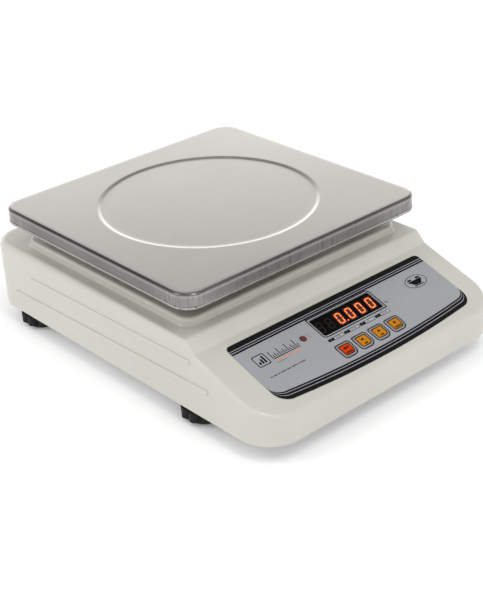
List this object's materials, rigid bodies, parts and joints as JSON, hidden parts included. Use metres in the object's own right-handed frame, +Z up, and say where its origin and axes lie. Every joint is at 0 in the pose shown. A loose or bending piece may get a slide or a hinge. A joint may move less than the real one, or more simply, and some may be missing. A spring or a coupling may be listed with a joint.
{
  "type": "bench scale",
  "caption": "Electronic bench scale: square stainless pan on a load cell, moulded housing with a sloping digit display and key panel, on levelling feet.",
  "frame": {"origin": "on the table, under the centre of the overall box (rear fittings included)", "axes": "+Z up, +Y to the rear away from the operator's panel, +X to the operator's right"},
  "size_m": [0.2864, 0.3944, 0.122],
  "materials": {
    "housing_ivory": "satin, fine orange peel",
    "plate_steel": "zinc plated, satin",
    "fastener_steel": "bright zinc",
    "cell_aluminium": "machined",
    "cast_spider": "as cast, painted grey",
    "pan_stainless": "fine brushed",
    "buffer_rubber": "matt",
    "knob_black": "moulded, slight sheen",
    "overlay_print": "printed polyester, fine matt",
    "window_smoke": "smoked, gloss",
    "key_red": "printed polyester",
    "key_amber": "printed polyester",
    "digit_black": "matt",
    "led_red": "clear tinted",
    "board_green": "solder resist",
    "component_black": "moulded",
    "battery_black": "moulded",
    "core_steel": "varnished laminations",
    "winding_tape": "taped winding",
    "inlet_black": "moulded",
    "cable_jacket": "PVC"
  },
  "bodies": {
    "housing": {"top_cover": "housing_ivory", "base_plate": "plate_steel", "base_plate_screws": "fastener_steel", "foot_weld_nuts": "fastener_steel", "base_frame": "plate_steel", "chassis_screws": "fastener_steel", "load_cell": "cell_aluminium", "load_cell_spacer": "cell_aluminium", "load_cell_bolts": "fastener_steel", "overload_stop_screw": "fastener_steel", "overload_stop_nut": "fastener_steel", "panel_overlay": "overlay_print", "display_window": "window_smoke", "display_board": "board_green", "digit_modules": "digit_black", "tact_switches": "component_black", "status_leds": "led_red", "charge_led": "led_red", "main_board": "board_green", "board_standoffs": "fastener_steel", "board_screws": "fastener_steel", "board_components": "component_black", "battery": "battery_black", "battery_bracket": "plate_steel", "transformer_core": "core_steel", "transformer_winding": "winding_tape", "transformer_frame": "plate_steel", "mains_inlet": "inlet_black", "inlet_pins": "fastener_steel", "inlet_screws": "fastener_steel", "fuse_holder": "inlet_black", "switch_housing": "inlet_black", "load_cell_cable": "cable_jacket", "display_cable": "cable_jacket", "mains_leads": "cable_jacket"},
    "weigh_platform": {"spider_post": "cell_aluminium", "post_bolts": "fastener_steel", "spider": "cast_spider", "spider_screws": "fastener_steel", "pan_buffers": "buffer_rubber"},
    "pan": {"weighing_pan": "pan_stainless", "pan_locating_cups": "pan_stainless"},
    "power_rocker": {"switch_rocker": "inlet_black"},
    "foot_fl_sole": {"foot_pad_fl": "buffer_rubber"},
    "foot_fl_knob": {"foot_knob_fl": "knob_black", "foot_stud_fl": "fastener_steel"},
    "foot_fr_sole": {"foot_pad_fr": "buffer_rubber"},
    "foot_fr_knob": {"foot_knob_fr": "knob_black", "foot_stud_fr": "fastener_steel"},
    "foot_rl_sole": {"foot_pad_rl": "buffer_rubber"},
    "foot_rl_knob": {"foot_knob_rl": "knob_black", "foot_stud_rl": "fastener_steel"},
    "foot_rr_sole": {"foot_pad_rr": "buffer_rubber"},
    "foot_rr_knob": {"foot_knob_rr": "knob_black", "foot_stud_rr": "fastener_steel"},
    "key_1": {"key_1": "key_red"},
    "key_2": {"key_2": "key_amber"},
    "key_3": {"key_3": "key_amber"},
    "key_4": {"key_4": "key_amber"}
  },
  "joints": [
    {"name": "platform_deflection", "type": "slide", "parent": "housing", "child": "weigh_platform", "axis": [0, 0, 1], "range_m": [-0.0005, 0], "stiffness_N_per_m": 590000, "deforming": ["load_cell"]},
    {"name": "pan_lift", "type": "slide", "parent": "weigh_platform", "child": "pan", "axis": [0, 0, 1], "range_m": [0, 0.06]},
    {"name": "rocker_pivot", "type": "hinge", "parent": "housing", "child": "power_rocker", "pos_m": [-0.004, 0.19075, 0.048], "axis": [0, 0, 1], "range_deg": [-18, 0]},
    {"name": "foot_fl_height", "type": "slide", "parent": "housing", "child": "foot_fl_sole", "axis": [0, 0, 1], "range_m": [-0.008, 0.0015]},
    {"name": "foot_fl_turn", "type": "hinge", "parent": "foot_fl_sole", "child": "foot_fl_knob", "pos_m": [-0.1215, -0.09525, 0.01], "axis": [0, 0, 1], "range_deg": [-2322, 440]},
    {"name": "foot_fr_height", "type": "slide", "parent": "housing", "child": "foot_fr_sole", "axis": [0, 0, 1], "range_m": [-0.008, 0.0015]},
    {"name": "foot_fr_turn", "type": "hinge", "parent": "foot_fr_sole", "child": "foot_fr_knob", "pos_m": [0.1215, -0.09525, 0.01], "axis": [0, 0, 1], "range_deg": [-2322, 440]},
    {"name": "foot_rl_height", "type": "slide", "parent": "housing", "child": "foot_rl_sole", "axis": [0, 0, 1], "range_m": [-0.008, 0.0015]},
    {"name": "foot_rl_turn", "type": "hinge", "parent": "foot_rl_sole", "child": "foot_rl_knob", "pos_m": [-0.1215, 0.14475, 0.01], "axis": [0, 0, 1], "range_deg": [-2322, 440]},
    {"name": "foot_rr_height", "type": "slide", "parent": "housing", "child": "foot_rr_sole", "axis": [0, 0, 1], "range_m": [-0.008, 0.0015]},
    {"name": "foot_rr_turn", "type": "hinge", "parent": "foot_rr_sole", "child": "foot_rr_knob", "pos_m": [0.1215, 0.14475, 0.01], "axis": [0, 0, 1], "range_deg": [-2322, 440]},
    {"name": "key_1_press", "type": "slide", "parent": "housing", "child": "key_1", "axis": [0, -0.314, 0.9494], "range_m": [-0.0004, 0], "stiffness_N_per_m": 400, "springref_m": 0.001},
    {"name": "key_2_press", "type": "slide", "parent": "housing", "child": "key_2", "axis": [0, -0.314, 0.9494], "range_m": [-0.0004, 0], "stiffness_N_per_m": 400, "springref_m": 0.001},
    {"name": "key_3_press", "type": "slide", "parent": "housing", "child": "key_3", "axis": [0, -0.314, 0.9494], "range_m": [-0.0004, 0], "stiffness_N_per_m": 400, "springref_m": 0.001},
    {"name": "key_4_press", "type": "slide", "parent": "housing", "child": "key_4", "axis": [0, -0.314, 0.9494], "range_m": [-0.0004, 0], "stiffness_N_per_m": 400, "springref_m": 0.001}
  ],
  "couplings": [
    {"joint": "foot_fl_turn", "follows": "foot_fl_height", "rad_per_m": 5026.5},
    {"joint": "foot_fr_turn", "follows": "foot_fr_height", "rad_per_m": 5026.5},
    {"joint": "foot_rl_turn", "follows": "foot_rl_height", "rad_per_m": 5026.5},
    {"joint": "foot_rr_turn", "follows": "foot_rr_height", "rad_per_m": 5026.5}
  ]
}
